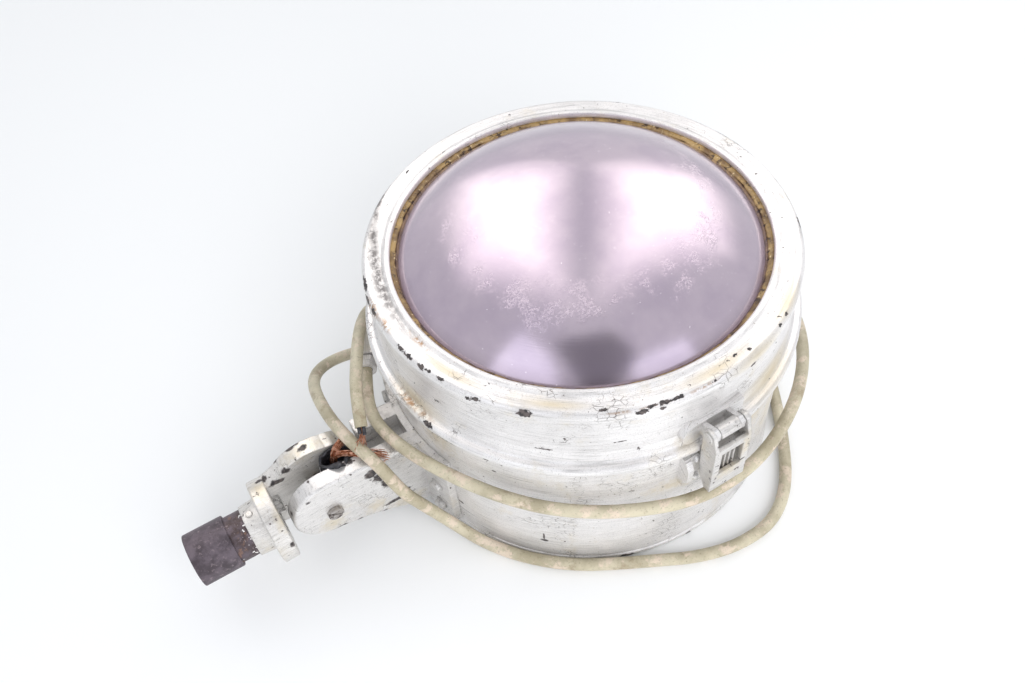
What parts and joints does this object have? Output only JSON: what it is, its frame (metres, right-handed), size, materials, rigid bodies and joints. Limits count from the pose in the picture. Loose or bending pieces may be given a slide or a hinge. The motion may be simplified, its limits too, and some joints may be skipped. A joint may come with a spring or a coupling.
{
  "type": "floodlight head",
  "caption": "Drum-shaped floodlight head with domed glass door, toggle latch, tilting conduit arm and a loose supply cord, lying lens up.",
  "frame": {"origin": "centre of the rear cover's flat outer face, on the beam axis", "axes": "+Z along the beam axis out of the lens, -X along the conduit arm, -Y towards the door latch"},
  "size_m": [0.5429, 0.3977, 0.257],
  "materials": {
    "aluminium_paint_drum": "aluminium paint, brushed on, cracked and stained",
    "aluminium_paint_door": "aluminium paint, brushed on, chipped at the edges",
    "aluminium_paint_arm": "aluminium paint over dark primer, chipped",
    "aluminium_paint_fork": "aluminium paint, worn and rust stained",
    "aluminium_paint_latch": "aluminium paint, worn and stained",
    "rear_cover_paint": "aluminium paint, scuffed from standing on it",
    "conduit_steel": "dark oxidised steel with rust",
    "bolt_steel": "zinc plated, dulled",
    "dome_glass": "smoky mauve glass, wiped and scratched",
    "glazing_putty": "hardened gold-brown putty",
    "seal_felt": "dark compressed cork and rubber",
    "reflector_aluminium": "polished spun aluminium",
    "porcelain": "glazed porcelain",
    "brass": "dull brass",
    "bulb_glass": "clear blown glass",
    "filament_tungsten": "tungsten and glass stem",
    "rubber_black": "perished black rubber",
    "copper": "bare copper strands, tarnished",
    "cord_sheath": "olive-beige rubber sheath, abraded",
    "lead_red": "red rubber insulation",
    "lead_black": "black rubber insulation",
    "lead_green": "green rubber insulation"
  },
  "bodies": {
    "lamp_head": {"drum_housing": "aluminium_paint_drum", "rear_cover": "rear_cover_paint", "rear_cover_screws": "bolt_steel", "rear_cover_nuts": "bolt_steel", "door_seal": "seal_felt", "reflector": "reflector_aluminium", "reflector_clips": "bolt_steel", "reflector_screws": "bolt_steel", "lampholder_bridge": "bolt_steel", "bridge_screws": "bolt_steel", "lampholder_body": "porcelain", "lampholder_shell": "brass", "lamp_cap": "brass", "lamp_envelope": "bulb_glass", "lamp_filament": "filament_tungsten", "cable_entry_box": "aluminium_paint_drum", "gland_body": "bolt_steel", "gland_nut": "bolt_steel", "gland_bush": "rubber_black", "cable_tail": "cord_sheath", "terminal_block": "porcelain", "terminal_inserts": "brass", "lead_live": "lead_red", "lead_neutral": "lead_black", "lead_earth": "lead_green", "arm_bracket": "aluminium_paint_arm", "arm_bolts": "aluminium_paint_arm", "arm_nuts": "bolt_steel", "arm_cable_cup": "rubber_black", "arm_cable_strands": "copper", "hinge_housing_leaf": "aluminium_paint_drum", "hinge_pin": "bolt_steel", "hinge_rivets": "aluminium_paint_drum", "latch_keeper": "aluminium_paint_drum", "keeper_rivets": "aluminium_paint_drum", "cord": "cord_sheath", "cord_end_cores": "rubber_black"},
    "fork": {"fork_casting": "aluminium_paint_fork", "pivot_bolt": "aluminium_paint_fork", "pivot_spacer": "bolt_steel", "pivot_washer": "bolt_steel", "pivot_nut": "bolt_steel", "conduit_nipple": "conduit_steel", "conduit_coupling": "conduit_steel", "conduit_grub_screw": "bolt_steel"},
    "door": {"bezel": "aluminium_paint_door", "front_glass": "dome_glass", "glass_putty": "glazing_putty", "glass_ring": "bolt_steel", "glass_clips": "bolt_steel", "glass_clip_screws": "bolt_steel", "hinge_door_lug": "aluminium_paint_door", "latch_boss": "aluminium_paint_door"},
    "latch_lever": {"latch_lever": "aluminium_paint_latch", "latch_pin": "bolt_steel", "latch_roller": "aluminium_paint_latch", "latch_link_pin": "bolt_steel"},
    "latch_link": {"latch_link": "aluminium_paint_latch"}
  },
  "joints": [
    {"name": "fork_tilt", "type": "hinge", "parent": "lamp_head", "child": "fork", "pos_m": [-0.247, 0, 0.063], "axis": [0, 1, 0], "range_deg": [-75, 60]},
    {"name": "door_hinge", "type": "hinge", "parent": "lamp_head", "child": "door", "pos_m": [0, 0.1785, 0.141], "axis": [-1, 0, 0], "range_deg": [0, 105]},
    {"name": "latch_lever", "type": "hinge", "parent": "door", "child": "latch_lever", "pos_m": [0, -0.1785, 0.17], "axis": [-1, 0, 0], "range_deg": [0, 110]},
    {"name": "latch_link", "type": "hinge", "parent": "latch_lever", "child": "latch_link", "pos_m": [0, -0.1805, 0.152], "axis": [-1, 0, 0], "range_deg": [-77, 0]}
  ],
  "couplings": [
    {"joint": "latch_link", "follows": "latch_lever", "ratio": -0.7}
  ]
}
